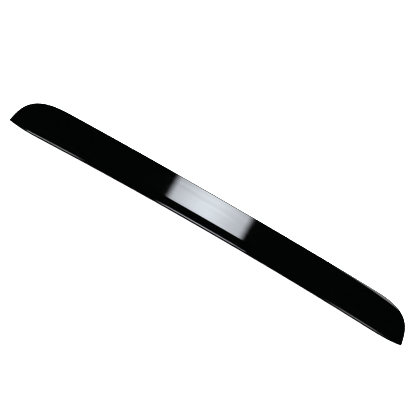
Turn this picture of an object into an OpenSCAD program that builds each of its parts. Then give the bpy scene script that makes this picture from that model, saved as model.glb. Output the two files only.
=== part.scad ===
// Roof spoiler: a long blade that is bonded along the rear end of a car's roof, over the rear
// window. It is one moulding. The upper side is a closed gloss skin with a kicked-up lip along
// the trailing edge. The underside is open, with bonding lands, a rim and cross ribs.
// Frame: +X across the car, +Y to the car's front, +Z up. The blade rests on the ground plane,
// with the origin under the middle of its box.

/* [Plan] */
// Length across the car, from tip to tip
span = 1150; // [900:10:1300]
// Depth from the front edge to the trailing edge, at the middle
depth = 104; // [92:0.5:130]
// Radius of the arch across the car, which follows the roof
arch_r = 5300; // [4300:100:8000]
// How far the ends of the front edge stand ahead of its middle
front_bow = 7; // [0:0.5:11]
// Length of each rounded front corner, along the span
corner_len = 132; // [90:1:160]
// Fullness of the corner's curve, where 2 is an ellipse and more is squarer
corner_power = 3.15; // [2:0.05:3.4]
// How far each tip of the trailing edge is swept forward
tip_sweep = 11; // [0:1:18]
// Length over which a tip is swept and the lip dies away
tip_len = 110; // [80:5:150]

/* [Section] */
// Rise of the main face, from the front edge back to the valley
face_rise = 5; // [2:0.5:8]
// Width of the lip, from the valley to the trailing edge
lip_w = 28.5; // [24:0.5:36]
// Height of the lip's crest above the valley
lip_h = 11.5; // [6:0.5:16]
// Distance over which the main face turns up into the lip
valley_blend = 4; // [2:0.5:8]
// Thickness of the front edge and of the tips
front_t = 4.5; // [4:0.1:6]
// Thickness under the valley
valley_t = 9; // [7.5:0.5:12]
// Thickness of the trailing edge
rear_t = 8; // [7:0.5:9]
// Width over which the top of the front edge rolls down
front_roll = 4.5; // [2:0.5:7]
// How far the front edge drops over that roll
front_drop = 2.4; // [1:0.1:2.7]
// Radius along the top of the trailing edge
rear_r = 4.2; // [2:0.1:4.6]
// Bevel along the bottom of every edge
foot_bevel = 0.8; // [0.3:0.1:1.2]

/* [Underside] */
// Thickness of the skin over the pockets
skin_t = 3; // [2.4:0.1:3.4]
// Width of the bonding land behind the front edge
front_land_w = 14; // [11:1:18]
// Width of the bonding land in front of the valley
rear_land_w = 12; // [10:1:16]
// Width of the rim along the trailing edge
rear_rim_w = 5; // [4:0.5:8]
// Width of the shallow channel for adhesive tape in each land
tape_w = 8; // [6:0.5:9]
// Depth of that channel
tape_d = 0.6; // [0.3:0.1:1]
// Thickness of a cross rib where it leaves the skin
rib_t = 2; // [1.6:0.1:3]
// Thickness of a cross rib at its free edge
rib_edge_t = 1.4; // [1:0.1:1.6]
// How far the ribs stop short of the bonding lands' level
rib_short = 0.8; // [0.4:0.1:1.2]
// Greatest distance from one cross rib to the next
rib_pitch = 98; // [60:1:130]
// Length of solid blade between the pockets and each tip
end_solid = 45; // [38:1:70]

/* [Hidden] */

half = span / 2;
// Where the straight front edge ends and the corner's curve begins
corner_x = half - corner_len;
// How much faster than its distance from the edge a line inside the edge draws back at the tip
tip_pull = 1.3;
// Width at which each tip is cut blunt, and the angle along the corner's curve that leaves it
tip_blunt = 1.4;
last_angle = acos(pow(tip_blunt / (depth - tip_sweep), corner_power / 2));
corner_steps = 20;
middle_steps = 28;
arc_steps = 4;
lip_rows = 7;
face_rows = 10;
under_rows = 6;
pocket_steps = 30;
pocket_rows = 5;
tape_rows = 1;
// Half the length of the pockets, the channels and the row of ribs
pocket_x = half - end_solid;
// How far a cutting solid passes out of the blade below it
cut_over = 6;
// How far a rib runs into the skin and the lands
rib_bite = 1;
// Size of the slivers that a rib is stretched over
rib_sliver = 0.02;
// Most faces that a line through the blade can cross
blade_folds = 12;

// Height of the arch across the car, from 0 at the middle down to the tips
function arch(x) = sqrt(arch_r * arch_r - x * x) - arch_r;

// 1 along the blade, falling smoothly to 0 at a tip
function fade(x) =
    let (t = min(1, max(0, (half - abs(x)) / tip_len))) t * t * (3 - 2 * t);

// The trailing edge, at y = 0 along the blade and swept forward at the tips
function rear_line(x) = tip_sweep * pow(max(0, (abs(x) - half + tip_len) / tip_len), 2);

// The front edge, without its rounded corners
function front_line(x) = depth + front_bow * pow(x / half, 2);

// The front edge drawn in by a distance, at a share of its height over the tip's end
function front_share(x, inset, share) =
    tip_sweep + inset + (front_line(x) - tip_sweep - 2 * inset) * share;

// The same front line as a function of x alone
function front_at(x, inset) =
    let (t = min(1, max(0, abs(x) - corner_x) / (corner_len - tip_pull * inset)))
    front_share(x, inset, pow(1 - pow(t, corner_power), 1 / corner_power));

// 0 ahead of the valley and a straight climb behind it, with a smooth turn between
function climb(t) = (t + sqrt(t * t + valley_blend * valley_blend)) / 2;

// Upper surface: the arch, the main face's slope and the kicked-up lip
face_slope = face_rise / (depth - lip_w);
lip_slope = lip_h / lip_w - face_slope;
function top_z(x, y) =
    arch(x) + face_slope * (depth - y) + lip_slope * climb(lip_w - y) * fade(x);

// Thickness from the upper surface to the level of the lands
function thick(x, y) =
    front_t + fade(x) * (lookup(y, [[0, rear_t], [lip_w, valley_t], [depth, front_t]]) - front_t);

function under_z(x, y) = top_z(x, y) - thick(x, y);

// A row of the blade's closed section is [share of the way from rear to front, inset from the
// edge line, 1 for the upper surface or 0 for the underside, distance from that surface].
// An edge's top is a quarter of an ellipse that is w wide and h high.
function edge_arc(share, w, h, from, to) =
    [for (k = [0 : arc_steps])
        let (a = from + (to - from) * k / arc_steps) [share, w * (1 - cos(a)), 1, h * (1 - sin(a))]];

valley_share = lip_w / depth;
lip_shares = [for (k = [1 : lip_rows]) valley_share * (1 - pow(1 - k / lip_rows, 2))];
face_shares = [for (k = [1 : face_rows - 1]) valley_share + (1 - valley_share) * pow(k / face_rows, 2)];
blade_rows = concat(
    [[0, foot_bevel, 0, 0], [0, 0, 0, foot_bevel]],
    edge_arc(0, rear_r, rear_r, 0, 90),
    [for (s = concat(lip_shares, face_shares)) [s, 0, 1, 0]],
    edge_arc(1, front_roll, front_drop, 90, 0),
    [[1, 0, 0, foot_bevel], [1, foot_bevel, 0, 0]],
    [for (k = [under_rows : -1 : 1]) [k / (under_rows + 1), 0, 0, 0]]
);

// A station is [side, x where its curve starts, angle along the corner's curve].
blade_stations = concat(
    [for (k = [corner_steps : -1 : 1]) [-1, corner_x, last_angle * k / corner_steps]],
    [for (k = [0 : middle_steps]) [1, corner_x * (2 * k / middle_steps - 1), 0]],
    [for (k = [1 : corner_steps]) [1, corner_x, last_angle * k / corner_steps]]
);

// Inset of a row: its own at an edge, and changing evenly from one edge's to the other's between
function row_inset(row) =
    row[0] == 0 || row[0] == 1 ? row[1] : rear_r + (front_roll - rear_r) * row[0];

function blade_point(station, row) =
    let (
        g = row_inset(row),
        reach = (corner_len - tip_pull * g) * pow(sin(station[2]), 2 / corner_power),
        x = station[0] * (station[1] + reach),
        y0 = rear_line(x) + g,
        y1 = front_share(x, g, pow(cos(station[2]), 2 / corner_power)),
        y = y0 + (y1 - y0) * row[0],
        // Towards the tips the rounding of the trailing edge shrinks with its thickness
        squash = row[0] == 0 ? thick(x, y) / rear_t : 1
    )
    [x, y, row[2] == 1 ? top_z(x, y) - squash * row[3] : under_z(x, y) + row[3]];

blade_points = [for (station = blade_stations) [for (row = blade_rows) blade_point(station, row)]];

// Where the blade lies, so that it stands on the ground plane with the origin under its middle
all_y = [for (ring = blade_points) for (p = ring) p[1]];
all_z = [for (ring = blade_points) for (p = ring) p[2]];
shift_y = -(min(all_y) + max(all_y)) / 2;
shift_z = -min(all_z);

function mean(ring) = [for (axis = [0 : 2]) [for (p = ring) p[axis]] * [for (p = ring) 1 / len(ring)]];

// A closed solid through a row of rings that have as many points each
module loft(rings) {
    n = len(rings[0]);
    last = len(rings) - 1;
    ends = n * (last + 1);
    points = concat([for (ring = rings) each ring], [mean(rings[0]), mean(rings[last])]);
    sides = [for (i = [0 : last - 1]) for (j = [0 : n - 1])
        let (a = i * n + j, b = i * n + (j + 1) % n) each [[a, b, b + n], [a, b + n, a + n]]];
    caps = [for (j = [0 : n - 1]) let (k = (j + 1) % n)
        each [[ends, k, j], [ends + 1, last * n + j, last * n + k]]];
    polyhedron(points, concat(sides, caps), convexity = blade_folds);
}

// A cutting solid along the underside between two lines in plan, up to a depth that is
// measured from the upper surface (ceiling 1) or from the level of the lands (ceiling 0)
module trench(rear, front, ceiling, distance, rows) {
    loft([for (k = [0 : pocket_steps])
        let (
            x = pocket_x * (2 * k / pocket_steps - 1),
            y0 = rear(x),
            y1 = front(x),
            ys = [for (j = [0 : rows]) y0 + (y1 - y0) * j / rows]
        )
        concat(
            [for (y = ys) [x, y, ceiling == 1 ? top_z(x, y) - distance : under_z(x, y) + distance]],
            [[x, y1, under_z(x, y1) - cut_over], [x, y0, under_z(x, y0) - cut_over]]
        )]);
}

// Lines in plan that bound the pockets, the lands and the tape channels
land_front = function (x) front_at(x, front_land_w);
land_rear = function (x) lip_w + rear_land_w;
lip_front = function (x) lip_w;
lip_rear = function (x) rear_line(x) + rear_rim_w;
front_tape_near = function (x) front_at(x, (front_land_w + tape_w) / 2);
front_tape_far = function (x) front_at(x, (front_land_w - tape_w) / 2);
rear_tape_near = function (x) lip_w + (rear_land_w - tape_w) / 2;
rear_tape_far = function (x) lip_w + (rear_land_w + tape_w) / 2;

// One end of a cross rib: wide where it bites into the skin, narrow at its free edge
module rib_post(x, y) {
    foot = under_z(x, y) + rib_short;
    head = top_z(x, y) - skin_t + rib_bite;
    translate([x - rib_edge_t / 2, y, foot]) cube([rib_edge_t, rib_sliver, rib_sliver]);
    translate([x - rib_t / 2, y, head]) cube([rib_t, rib_sliver, rib_sliver]);
}

// A cross rib over one pocket
module rib(x, y0, y1) {
    hull() {
        rib_post(x, y0 - rib_bite);
        rib_post(x, y1 + rib_bite);
    }
}

module ribs() {
    bays = ceil(2 * pocket_x / rib_pitch);
    for (k = [1 : bays - 1]) {
        x = pocket_x * (2 * k / bays - 1);
        rib(x, lip_rear(x), lip_front(x));
        rib(x, land_rear(x), land_front(x));
    }
}

// The whole moulding
module spoiler_shell() {
    color("#0c0c0e") translate([0, shift_y, shift_z]) {
        difference() {
            loft(blade_points);
            trench(lip_rear, lip_front, 1, skin_t, pocket_rows);
            trench(land_rear, land_front, 1, skin_t, pocket_rows);
            trench(front_tape_near, front_tape_far, 0, tape_d, tape_rows);
            trench(rear_tape_near, rear_tape_far, 0, tape_d, tape_rows);
        }
        ribs();
    }
}

spoiler_shell();
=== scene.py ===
"""Roof spoiler: the dressed blade on a plain pale floor, seen as in the photograph. The moulding's own
sizes and the camera's lens and sensor are in millimetres, and every other length is in metres."""

import bpy
import numpy as np
from mathutils import Matrix, Vector


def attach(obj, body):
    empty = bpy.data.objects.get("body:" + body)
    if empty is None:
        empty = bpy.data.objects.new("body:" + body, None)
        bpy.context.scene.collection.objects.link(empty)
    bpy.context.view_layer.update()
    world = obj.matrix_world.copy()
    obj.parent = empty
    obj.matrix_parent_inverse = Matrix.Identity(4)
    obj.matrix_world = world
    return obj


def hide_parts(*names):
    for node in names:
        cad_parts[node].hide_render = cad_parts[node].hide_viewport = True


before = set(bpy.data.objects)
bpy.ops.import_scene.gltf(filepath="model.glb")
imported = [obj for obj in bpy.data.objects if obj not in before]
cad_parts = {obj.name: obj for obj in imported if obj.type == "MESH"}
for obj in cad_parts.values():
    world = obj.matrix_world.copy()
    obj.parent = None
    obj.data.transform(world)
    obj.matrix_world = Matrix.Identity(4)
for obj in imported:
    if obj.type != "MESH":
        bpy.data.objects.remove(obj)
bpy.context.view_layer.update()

MM = 0.001

# Plan of the moulding, in millimetres, as the frame's solid has it
SPAN = 1150.0
DEPTH = 104.0
FRONT_BOW = 7.0
CORNER_LEN = 132.0
CORNER_POWER = 3.15
TIP_SWEEP = 11.0
TIP_LEN = 110.0
TIP_PULL = 1.3
TIP_BLUNT = 1.4

# Arch across the car and section across the blade, in millimetres
ARCH_R = 5300.0
FACE_RISE = 5.0
LIP_W = 28.5
LIP_H = 11.5
VALLEY_BLEND = 4.0
FRONT_T = 4.5
VALLEY_T = 9.0
REAR_T = 8.0
FRONT_ROLL = 4.5
FRONT_DROP = 2.4
REAR_R = 4.2
FOOT_BEVEL = 0.8

# Underside, in millimetres
SKIN_T = 3.0
FRONT_LAND_W = 14.0
REAR_LAND_W = 12.0
REAR_RIM_W = 5.0
TAPE_W = 8.0
TAPE_D = 0.6
RIB_T = 2.0
RIB_EDGE_T = 1.4
RIB_SHORT = 0.8
RIB_PITCH = 98.0
RIB_BITE = 1.0
END_SOLID = 45.0
WALL_STEP = 0.3

# Worked out from them: half the span, where the rounded corners start, where the pockets end, and the
# angle along a corner's curve at which the blade is as narrow as its blunt tip
HALF = SPAN / 2
CORNER_X = HALF - CORNER_LEN
POCKET_X = HALF - END_SOLID
LAST_ANGLE = np.arccos((TIP_BLUNT / (DEPTH - TIP_SWEEP)) ** (CORNER_POWER / 2))

# Fineness of the surface. Rows crowd towards the valley by a power, and edges over an angle stay sharp
CORNER_STEPS = 56
MIDDLE_STEPS = 130
ARC_STEPS = 10
LIP_ROWS = 34
FACE_ROWS = 56
CROWDING = 1.5
CEILING_ROWS = 8
RIB_ROWS = 7
SHARP_ANGLE = np.radians(34)

# Finishes of the two sides: colours, ranges of roughness, and strength and depth of the fine relief
GLOSS_COLOUR = (0.0002, 0.0004, 0.0003, 1)
GLOSS_IOR = 1.5
GLOSS_ROUGHNESS = (0.025, 0.045)
RIPPLE = (0.05, 0.00002)
SATIN_DARK = (0.007, 0.007, 0.008, 1)
SATIN_PALE = (0.012, 0.012, 0.013, 1)
SATIN_ROUGHNESS = (0.48, 0.62)
GRAIN = (0.35, 0.0001)
# Most of a noise's values lie between these two
NOISE_SPAN = (0.3, 0.7)

# Camera: behind the blade and above it, rolled so that the blade's right end drops in the picture
CAMERA_AZIMUTH = 1.4
CAMERA_ELEVATION = 65.0
CAMERA_ROLL = 31.25
CAMERA_DISTANCE = 1.5
CAMERA_LENS = 50.6
CAMERA_SENSOR = 36.0
CAMERA_REACH = 100.0
PIXEL_FILTER = 0.9
AIM = (-0.001, -0.0022, 0.0094)
SHIFT = (-0.01295, 0.0279)

# Floor and surround: as they are seen, and the dimmer ones that gloss mirrors
FLOOR_HALF = 30.0
FLOOR_COLOUR = (0.92, 0.92, 0.92, 1)
FLOOR_ROUGHNESS = 0.9
FLOOR_SPECULAR = 0.1
MIRRORED_FLOOR = (0.02, 0.02, 0.02, 1)
WHITE = (1, 1, 1)
SURROUND_LIGHT = 3.2
# A mirrored glow grows sideways to the blade's ends and dies out upwards, and a faint one rims the horizon
END_GLOW = 0.5
END_GLOW_SIDE = (0.6, 0.95)
END_GLOW_RISE = (0.05, 0.75)
HORIZON_GLOW = 0.15
HORIZON_RISE = (0.02, 0.24)

# Lamps: tints, the ways they face, where the main one stands, and the streaks in its cloth
COOL = (0.88, 0.93, 1.0)
PALE_COOL = (0.92, 0.97, 1.0)
DOWN = Vector((0, 0, -1))
BACK = Vector((0, -1, 0))
KEY_ELEVATION = np.radians(62.0)
KEY_DISTANCE = 1.6
STREAK_SCALE = (2.0, 45.0, 1.0)
STREAK_SPAN = (0.25, 0.75)
STREAK_LEVELS = (0.9, 1.1)


def arch(x):
    """Height of the arch across the car: a circle's arc, 0 at the middle and falling to the tips."""
    return np.sqrt(ARCH_R**2 - x**2) - ARCH_R


def fade(x):
    """1 along the blade, falling to 0 at a tip by the cubic 3t^2 - 2t^3."""
    t = np.clip((HALF - np.abs(x)) / TIP_LEN, 0, 1)
    return t * t * (3 - 2 * t)


def rear_line(x):
    """Trailing edge in plan: straight, then swept forward by a parabola at the tips."""
    return TIP_SWEEP * np.clip((np.abs(x) - HALF + TIP_LEN) / TIP_LEN, 0, None) ** 2


def front_share(x, inset, share):
    """Front edge in plan, drawn in by inset, at a share of its way from the tip's end to its full depth,
    which grows by the square of x, so that the edge bows."""
    full = DEPTH + FRONT_BOW * (x / HALF) ** 2
    return TIP_SWEEP + inset + (full - TIP_SWEEP - 2 * inset) * share


def front_at(x, inset):
    """Front edge in plan as a function of x: bowed, with the superellipse of each rounded corner."""
    t = np.clip((np.abs(x) - CORNER_X) / (CORNER_LEN - TIP_PULL * inset), 0, 1)
    return front_share(x, inset, (1 - t**CORNER_POWER) ** (1 / CORNER_POWER))


def top_z(x, y):
    """Upper surface: the arch, the main face's even slope, and behind the valley the lip's climb,
    which turns up smoothly as half of t plus the root of t squared plus the blend squared."""
    face_slope = FACE_RISE / (DEPTH - LIP_W)
    lip_slope = LIP_H / LIP_W - face_slope
    t = LIP_W - y
    climb = (t + np.sqrt(t * t + VALLEY_BLEND**2)) / 2
    return arch(x) + face_slope * (DEPTH - y) + lip_slope * climb * fade(x)


def thick(x, y):
    """Thickness down to the level of the lands: straight between three named ones, thinning to the tips."""
    body = np.interp(y, [0, LIP_W, DEPTH], [REAR_T, VALLEY_T, FRONT_T])
    return FRONT_T + fade(x) * (body - FRONT_T)


def under_z(x, y):
    """Level of the lands: the upper surface less the thickness."""
    return top_z(x, y) - thick(x, y)


def stations():
    """Stations along the blade: the side, the x where the rounding starts, and the angle along it, which
    is 0 between the corners and runs in even steps to the tips."""
    angles = LAST_ANGLE * np.arange(1, CORNER_STEPS + 1) / CORNER_STEPS
    middle = CORNER_X * np.linspace(-1, 1, MIDDLE_STEPS + 1)
    reach = CORNER_LEN - TIP_PULL * FOOT_BEVEL
    # Two stations stand close together at each end of the pockets, for the end walls
    ends = np.array([POCKET_X - WALL_STEP, POCKET_X]) - CORNER_X
    walls = np.arcsin((ends / reach) ** (CORNER_POWER / 2))
    corner = np.sort(np.concatenate([angles, walls]))
    side = np.concatenate([-np.ones(len(corner)), np.ones(len(middle)), np.ones(len(corner))])
    start = np.concatenate([np.full(len(corner), CORNER_X), middle, np.full(len(corner), CORNER_X)])
    angle = np.concatenate([corner[::-1], np.zeros(len(middle)), corner])
    return side, start, angle


def place(side, start, angle, inset):
    """x along the stations, for a row that lies inset from the edge: the superellipse by its angle."""
    return side * (start + (CORNER_LEN - TIP_PULL * inset) * np.sin(angle) ** (2 / CORNER_POWER))


def edge_rows(share, width, height, first, last):
    """Rows round the top of an edge, by a quarter ellipse: share, inset and drop from the upper surface."""
    turns = np.linspace(first, last, ARC_STEPS + 1)
    return [(share, width * (1 - np.cos(turn)), height * (1 - np.sin(turn))) for turn in turns]


def outer_rows():
    """The closed section's upper rows from the trailing edge's foot to the front edge's foot."""
    valley = LIP_W / DEPTH
    lip = valley * (1 - (1 - np.arange(1, LIP_ROWS + 1) / LIP_ROWS) ** CROWDING)
    face = valley + (1 - valley) * (np.arange(1, FACE_ROWS) / FACE_ROWS) ** CROWDING
    rows = edge_rows(0, REAR_R, REAR_R, 0, np.pi / 2)
    rows += [(share, REAR_R + (FRONT_ROLL - REAR_R) * share, 0) for share in np.concatenate([lip, face])]
    return rows + edge_rows(1, FRONT_ROLL, FRONT_DROP, np.pi / 2, 0)


def blade_mesh():
    """The shell as one closed loft: at each station across the car a ring of rows runs over the upper
    surface, round the front edge and back along the underside through lands, channels and pockets."""
    side, start, angle = stations()
    cos_share = np.cos(angle) ** (2 / CORNER_POWER)

    def edge_point(share, inset, drop, under):
        """A row of the outside, at a share of the way from the trailing to the front edge, both drawn in
        by inset: a drop below the upper surface, or above the level of the lands."""
        x = place(side, start, angle, inset)
        y0 = rear_line(x) + inset
        y1 = front_share(x, inset, cos_share)
        y = y0 + (y1 - y0) * share
        # Towards the tips the rounding of the trailing edge shrinks with its thickness
        squash = thick(x, y) / REAR_T if share == 0 else 1
        z = under_z(x, y) + drop if under else top_z(x, y) - squash * drop
        return np.stack([x, y, z], 1)

    rings = [edge_point(0, FOOT_BEVEL, 0, True), edge_point(0, 0, FOOT_BEVEL, True)]
    rings += [edge_point(*row, False) for row in outer_rows()]
    rings += [edge_point(1, 0, FOOT_BEVEL, True), edge_point(1, FOOT_BEVEL, 0, True)]
    first_under = len(rings) - 1

    # Beyond the pockets the rows keep the shares of the depth that they have at the pockets' ends
    x = place(side, start, angle, FOOT_BEVEL)
    x_in = np.clip(x, -POCKET_X, POCKET_X)
    near = rear_line(x) + FOOT_BEVEL
    far = front_share(x, FOOT_BEVEL, cos_share)
    near_in = rear_line(x_in) + FOOT_BEVEL
    far_in = front_at(x_in, FOOT_BEVEL)
    inside = np.abs(x) < POCKET_X - WALL_STEP / 2

    def under_row(line, level):
        """A row of the underside along a line: on the lands, in a tape channel or on the skin."""
        y = near + (far - near) * (line - near_in) / (far_in - near_in)
        flat = under_z(x, y)
        z = {"land": flat, "tape": flat + TAPE_D, "ceiling": top_z(x, y) - SKIN_T}[level]
        return np.stack([x, y, np.where(inside, z, flat)], 1)

    def channel(line, wider):
        """From a land into the channel of the tape and out again."""
        return [under_row(line, "land"), under_row(line, "tape"),
                under_row(wider, "tape"), under_row(wider, "land")]

    def pocket(line, end):
        """From a land up to the skin, along it in even steps, and down to the next land."""
        ceiling = [line + (end - line) * k / CEILING_ROWS for k in range(CEILING_ROWS + 1)]
        skin = [under_row(row, "ceiling") for row in ceiling]
        return [under_row(line, "land"), *skin, under_row(end, "land")]

    valley = np.full_like(x_in, LIP_W)
    margin = (FRONT_LAND_W - TAPE_W) / 2
    rings += channel(front_at(x_in, margin), front_at(x_in, margin + TAPE_W))
    rings += pocket(front_at(x_in, FRONT_LAND_W), valley + REAR_LAND_W)
    margin = (REAR_LAND_W - TAPE_W) / 2
    rings += channel(valley + margin + TAPE_W, valley + margin)
    rings += pocket(valley, rear_line(x_in) + REAR_RIM_W)

    grid = np.stack(rings, 1)
    count, width, _ = grid.shape
    points = grid.reshape(-1, 3)
    i, j = np.meshgrid(np.arange(count - 1), np.arange(width), indexing="ij")
    a = (i * width + j).ravel()
    b = (i * width + (j + 1) % width).ravel()
    quads = np.stack([a, b, b + width, a + width], 1)
    under = np.tile(np.arange(width) >= first_under, count - 1)
    # A fan of triangles closes each blunt tip
    centres = np.stack([grid[0].mean(0), grid[-1].mean(0)])
    row = np.arange(width)
    after = (row + 1) % width
    last = (count - 1) * width
    base = len(points)
    caps = np.concatenate([
        np.stack([np.full(width, base), after, row], 1),
        np.stack([np.full(width, base + 1), last + row, last + after], 1),
    ])
    return np.concatenate([points, centres]), quads, caps, under


def rib_mesh():
    """Cross ribs: a tapered section, wide at the skin and narrow at its free edge, carried from one
    wall of its pocket to the other. All ribs are one array over rib, row along the rib and corner."""
    bays = int(np.ceil(2 * POCKET_X / RIB_PITCH))
    at = POCKET_X * (2 * np.arange(1, bays) / bays - 1)
    valley = np.full_like(at, LIP_W)
    x = np.concatenate([at, at])[:, None]
    y0 = np.concatenate([rear_line(at) + REAR_RIM_W, valley + REAR_LAND_W])[:, None] - RIB_BITE
    y1 = np.concatenate([valley, front_at(at, FRONT_LAND_W)])[:, None] + RIB_BITE
    y = y0 + (y1 - y0) * np.linspace(0, 1, RIB_ROWS)[None, :]
    x = np.broadcast_to(x, y.shape)
    foot = under_z(x, y) + RIB_SHORT
    head = top_z(x, y) - SKIN_T + RIB_BITE
    half_foot, half_head = RIB_EDGE_T / 2, RIB_T / 2
    corners = [(x - half_foot, foot), (x - half_head, head), (x + half_head, head), (x + half_foot, foot)]
    grid = np.stack([np.stack([cx, y, cz], -1) for cx, cz in corners], 2)
    ribs, rows, four, _ = grid.shape
    k, i, j = np.meshgrid(np.arange(ribs), np.arange(rows - 1), np.arange(four), indexing="ij")
    a = ((k * rows + i) * four + j).ravel()
    b = ((k * rows + i) * four + (j + 1) % four).ravel()
    quads = np.stack([a, a + four, b + four, b], 1)
    start = np.arange(ribs)[:, None] * rows * four
    first = start + np.arange(four)[None, :]
    last = start + (rows - 1) * four + np.arange(four)[None, ::-1]
    return grid.reshape(-1, 3), np.concatenate([quads, first, last])


def build_blade():
    """The shell and its ribs as one mesh in the frame's place: centred along y, with its feet at 0. Faces
    of the underside and the ribs take the second finish."""
    points, quads, caps, under = blade_mesh()
    rib_points, rib_quads = rib_mesh()
    low, high = points.min(0), points.max(0)
    quads = np.concatenate([quads, rib_quads + len(points)])
    points = np.concatenate([points, rib_points]) - np.array([0, (low[1] + high[1]) / 2, low[2]])
    loops = np.concatenate([quads.ravel(), caps.ravel()])
    sizes = np.concatenate([np.full(len(quads), 4), np.full(len(caps), 3)])
    finish = np.concatenate([under, np.ones(len(rib_quads)), np.zeros(len(caps))])
    mesh = bpy.data.meshes.new("spoiler_blade")
    mesh.vertices.add(len(points))
    mesh.vertices.foreach_set("co", (points * MM).astype(np.float32).ravel())
    mesh.loops.add(len(loops))
    mesh.loops.foreach_set("vertex_index", loops.astype(np.int32))
    mesh.polygons.add(len(sizes))
    mesh.polygons.foreach_set("loop_start", (np.cumsum(sizes) - sizes).astype(np.int32))
    mesh.update(calc_edges=True)
    mesh.polygons.foreach_set("material_index", finish.astype(np.int32))
    mesh.polygons.foreach_set("use_smooth", np.ones(len(sizes), dtype=bool))
    mesh.set_sharp_from_angle(angle=SHARP_ANGLE)
    mesh.validate()
    blade = bpy.data.objects.new("spoiler_blade", mesh)
    bpy.context.collection.objects.link(blade)
    return blade


def new_material(name):
    """An empty finish: the material, its nodes, its links and its shader."""
    material = bpy.data.materials.new(name)
    material.use_nodes = True
    nodes = material.node_tree.nodes
    return material, nodes, material.node_tree.links, nodes["Principled BSDF"]


def noise(nodes, links, scale, detail):
    """A noise on Object coordinates, so that the pattern stays on the piece."""
    where = nodes.new("ShaderNodeTexCoord")
    texture = nodes.new("ShaderNodeTexNoise")
    texture.inputs["Scale"].default_value = scale
    texture.inputs["Detail"].default_value = detail
    links.new(where.outputs["Object"], texture.inputs["Vector"])
    return texture.outputs["Fac"]


def ramp(nodes, links, source, span, levels, shape="SMOOTHSTEP"):
    """A value that runs from one level to another while its source crosses a span, by the cubic
    3t^2 - 2t^3 or, as LINEAR, evenly."""
    run = nodes.new("ShaderNodeMapRange")
    run.interpolation_type = shape
    run.inputs["From Min"].default_value = span[0]
    run.inputs["From Max"].default_value = span[1]
    run.inputs["To Min"].default_value = levels[0]
    run.inputs["To Max"].default_value = levels[1]
    links.new(source, run.inputs["Value"])
    return run.outputs["Result"]


def relief(nodes, links, shader, pattern, strength, depth):
    """Gives the shader the fine relief of a pattern."""
    bump = nodes.new("ShaderNodeBump")
    bump.inputs["Strength"].default_value = strength
    bump.inputs["Distance"].default_value = depth
    links.new(pattern, bump.inputs["Height"])
    links.new(bump.outputs["Normal"], shader.inputs["Normal"])


def gloss_black():
    """Polished black moulding: a hair of uneven gloss and the faint ripple of a moulded surface."""
    material, nodes, links, shader = new_material("gloss_black")
    shader.inputs["Base Color"].default_value = GLOSS_COLOUR
    shader.inputs["IOR"].default_value = GLOSS_IOR
    haze = noise(nodes, links, scale=60, detail=3)
    links.new(ramp(nodes, links, haze, NOISE_SPAN, GLOSS_ROUGHNESS, "LINEAR"), shader.inputs["Roughness"])
    relief(nodes, links, shader, noise(nodes, links, scale=420, detail=2), *RIPPLE)
    return material


def satin_underside():
    """Unpolished side of the moulding: dull, with the fine spark-eroded grain of its tool."""
    material, nodes, links, shader = new_material("satin_underside")
    tone = noise(nodes, links, scale=35, detail=4)
    shade = nodes.new("ShaderNodeValToRGB")
    for element, position, colour in zip(shade.color_ramp.elements, NOISE_SPAN, (SATIN_DARK, SATIN_PALE)):
        element.position = position
        element.color = colour
    links.new(tone, shade.inputs["Fac"])
    links.new(shade.outputs["Color"], shader.inputs["Base Color"])
    links.new(ramp(nodes, links, tone, NOISE_SPAN, SATIN_ROUGHNESS, "LINEAR"), shader.inputs["Roughness"])
    relief(nodes, links, shader, noise(nodes, links, scale=2600, detail=3), *GRAIN)
    return material


def make_camera():
    """The camera looks back along a ray that leaves the aim at its azimuth and elevation, rolled about it."""
    azimuth, elevation, roll = np.radians([CAMERA_AZIMUTH, CAMERA_ELEVATION, CAMERA_ROLL])
    level = np.cos(elevation)
    back = Vector((-np.sin(azimuth) * level, -np.cos(azimuth) * level, np.sin(elevation)))
    right = Vector((np.cos(azimuth), -np.sin(azimuth), 0))
    up = back.cross(right)
    rolled_right = right * np.cos(roll) + up * np.sin(roll)
    rolled_up = up * np.cos(roll) - right * np.sin(roll)
    data = bpy.data.cameras.new("camera")
    data.lens = CAMERA_LENS
    data.sensor_width = CAMERA_SENSOR
    data.shift_x, data.shift_y = SHIFT
    data.clip_end = CAMERA_REACH
    camera = bpy.data.objects.new("camera", data)
    turn = Matrix((rolled_right, rolled_up, back)).transposed().to_4x4()
    camera.matrix_world = Matrix.Translation(Vector(AIM) + back * CAMERA_DISTANCE) @ turn
    bpy.context.collection.objects.link(camera)
    bpy.context.scene.camera = camera


def math(nodes, links, operation, first, second=None):
    """One arithmetic step between two sockets, or on one socket alone."""
    step = nodes.new("ShaderNodeMath")
    step.operation = operation
    links.new(first, step.inputs[0])
    if second is not None:
        links.new(second, step.inputs[1])
    return step.outputs["Value"]


def seen_and_mirrored(nodes, links, seen, mirrored):
    """One shader for the camera and for soft light, and another for what gloss mirrors."""
    path = nodes.new("ShaderNodeLightPath")
    mix = nodes.new("ShaderNodeMixShader")
    links.new(path.outputs["Is Glossy Ray"], mix.inputs["Fac"])
    links.new(seen, mix.inputs[1])
    links.new(mirrored, mix.inputs[2])
    return mix.outputs["Shader"]


def plate(name, w, h, material):
    """A flat rectangle about the origin, from -w to w and from -h to h."""
    mesh = bpy.data.meshes.new(name)
    mesh.from_pydata([(-w, -h, 0), (w, -h, 0), (w, h, 0), (-w, h, 0)], [], [(0, 1, 2, 3)])
    mesh.materials.append(material)
    piece = bpy.data.objects.new(name, mesh)
    bpy.context.collection.objects.link(piece)
    return piece


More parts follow.
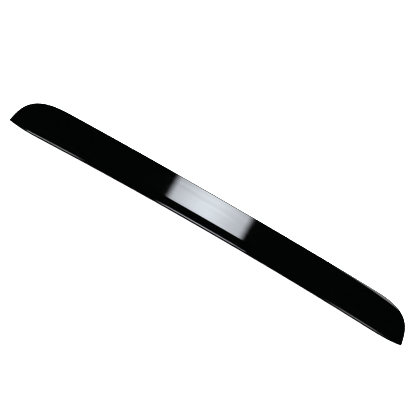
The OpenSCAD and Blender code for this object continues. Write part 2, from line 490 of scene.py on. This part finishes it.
def make_floor():
    """A pale floor that fills every view. Gloss mirrors a dim one, so that the blade's faces stay black."""
    material, nodes, links, shader = new_material("pale_floor")
    shader.inputs["Base Color"].default_value = FLOOR_COLOUR
    shader.inputs["Roughness"].default_value = FLOOR_ROUGHNESS
    shader.inputs["Specular IOR Level"].default_value = FLOOR_SPECULAR
    dim = nodes.new("ShaderNodeBsdfDiffuse")
    dim.inputs["Color"].default_value = MIRRORED_FLOOR
    both = seen_and_mirrored(nodes, links, shader.outputs["BSDF"], dim.outputs["BSDF"])
    links.new(both, nodes["Material Output"].inputs["Surface"])
    floor = plate("floor", FLOOR_HALF, FLOOR_HALF, material)


def make_surround():
    """An even white surround. Gloss mirrors a dark one, with a soft glow towards the blade's two ends."""
    world = bpy.data.worlds.new("surround")
    bpy.context.scene.world = world
    world.use_nodes = True
    nodes, links = world.node_tree.nodes, world.node_tree.links
    nodes.clear()
    where = nodes.new("ShaderNodeTexCoord")
    parts = nodes.new("ShaderNodeSeparateXYZ")
    links.new(where.outputs["Generated"], parts.inputs["Vector"])
    sideways = math(nodes, links, "ABSOLUTE", parts.outputs["X"])
    ends = math(nodes, links, "MULTIPLY",
                ramp(nodes, links, sideways, END_GLOW_SIDE, (0, END_GLOW)),
                ramp(nodes, links, parts.outputs["Z"], END_GLOW_RISE, (1, 0)))
    horizon = ramp(nodes, links, parts.outputs["Z"], HORIZON_RISE, (HORIZON_GLOW, 0))
    mirrored = nodes.new("ShaderNodeBackground")
    links.new(math(nodes, links, "ADD", ends, horizon), mirrored.inputs["Strength"])
    seen = nodes.new("ShaderNodeBackground")
    seen.inputs["Color"].default_value = (*WHITE, 1)
    seen.inputs["Strength"].default_value = SURROUND_LIGHT
    end = nodes.new("ShaderNodeOutputWorld")
    both = seen_and_mirrored(nodes, links, seen.outputs["Background"], mirrored.outputs["Background"])
    links.new(both, end.inputs["Surface"])


def card(name, centre, facing, size, strength, feather, edge_share=1.0, tint=WHITE, dim_line=None):
    """A soft box: a glowing rectangle that only gloss mirrors. It fades out over a feather at its left and
    at its right end, and from its middle it goes to edge_share of its strength at both. A dim_line says
    from where to where across the box it brightens, and from which share. Such a box is streaked too."""
    w, h = size[0] / 2, size[1] / 2
    material = bpy.data.materials.new(name)
    material.use_nodes = True
    nodes, links = material.node_tree.nodes, material.node_tree.links
    nodes.clear()
    where = nodes.new("ShaderNodeTexCoord")
    parts = nodes.new("ShaderNodeSeparateXYZ")
    links.new(where.outputs["Object"], parts.inputs["Vector"])
    along, across = parts.outputs["X"], parts.outputs["Y"]
    away = math(nodes, links, "ABSOLUTE", along)
    levels = [
        ramp(nodes, links, along, (-w, feather[0] - w), (0, 1)),
        ramp(nodes, links, along, (w - feather[1], w), (1, 0)),
        ramp(nodes, links, away, (0, w), (strength, strength * edge_share)),
    ]
    if dim_line:
        start, stop, dim = dim_line
        levels.append(ramp(nodes, links, across, (start, stop), (dim, 1)))
        stretch = nodes.new("ShaderNodeMapping")
        stretch.inputs["Scale"].default_value = STREAK_SCALE
        links.new(where.outputs["Object"], stretch.inputs["Vector"])
        streaks = nodes.new("ShaderNodeTexNoise")
        streaks.inputs["Scale"].default_value = 1.0
        streaks.inputs["Detail"].default_value = 2.0
        links.new(stretch.outputs["Vector"], streaks.inputs["Vector"])
        levels.append(ramp(nodes, links, streaks.outputs["Fac"], STREAK_SPAN, STREAK_LEVELS))
    power = levels[0]
    for level in levels[1:]:
        power = math(nodes, links, "MULTIPLY", power, level)
    glow = nodes.new("ShaderNodeEmission")
    glow.inputs["Color"].default_value = (*tint, 1)
    links.new(power, glow.inputs["Strength"])
    end = nodes.new("ShaderNodeOutputMaterial")
    links.new(glow.outputs["Emission"], end.inputs["Surface"])

    box = plate(name, w, h, material)
    side = Vector((1, 0, 0))
    side = (side - facing * side.dot(facing)).normalized()
    turn = Matrix((side, facing.cross(side), facing)).transposed().to_4x4()
    box.matrix_world = Matrix.Translation(Vector(centre)) @ turn
    box.visible_camera = False
    box.visible_shadow = False
    box.visible_diffuse = False


def hang_lamps():
    """The soft boxes that the blade mirrors. The small ones are so near that the camera sees each of them
    in one edge alone."""
    # The main soft box stands ahead of the blade, where the main face mirrors it into the camera
    key_at = (-0.043, KEY_DISTANCE * np.cos(KEY_ELEVATION), KEY_DISTANCE * np.sin(KEY_ELEVATION))
    card("key_box", key_at, -Vector(key_at).normalized(), size=(0.606, 0.95), strength=18.8,
         feather=(0.062, 0.062), edge_share=0.62, tint=COOL, dim_line=(-0.207, -0.185, 0.92))
    # A wider strip hangs over it, for the fine line along the middle of the trailing edge
    card("over_box", (-0.035, 0.355, 1.6), DOWN, size=(0.696, 0.39), strength=25.0,
         feather=(0.034, 0.025), tint=COOL)
    # Two strips hang above the blade's ends, for the fine lines along its trailing edge there
    card("left_card", (-0.516, -0.0135, 0.14), DOWN, size=(0.264, 0.049), strength=22.0,
         feather=(0.016, 0.07), tint=PALE_COOL)
    card("right_card", (0.517, -0.0135, 0.14), DOWN, size=(0.296, 0.049), strength=17.0,
         feather=(0.1, 0.12), tint=PALE_COOL)
    # A small card stands close ahead of the right corner, for the sheen along its rolled edge
    card("corner_card", (0.444, 0.078, 0.0275), BACK, size=(0.256, 0.055), strength=3.8,
         feather=(0.16, 0.02), dim_line=(-0.015, 0.01, 0.55))
    # Another stands close ahead of the middle, and fills the rolled front edge of the main reflection
    card("middle_card", (-0.024, 0.058, 0.0315), BACK, size=(0.25, 0.021), strength=3.6,
         feather=(0.03, 0.03))


make_camera()
make_floor()
make_surround()

blade = build_blade()
blade.data.materials.append(gloss_black())
blade.data.materials.append(satin_underside())
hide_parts("spoiler_shell")
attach(blade, "root")

hang_lamps()

scene = bpy.context.scene
scene.view_settings.view_transform = "Standard"
scene.cycles.filter_width = PIXEL_FILTER
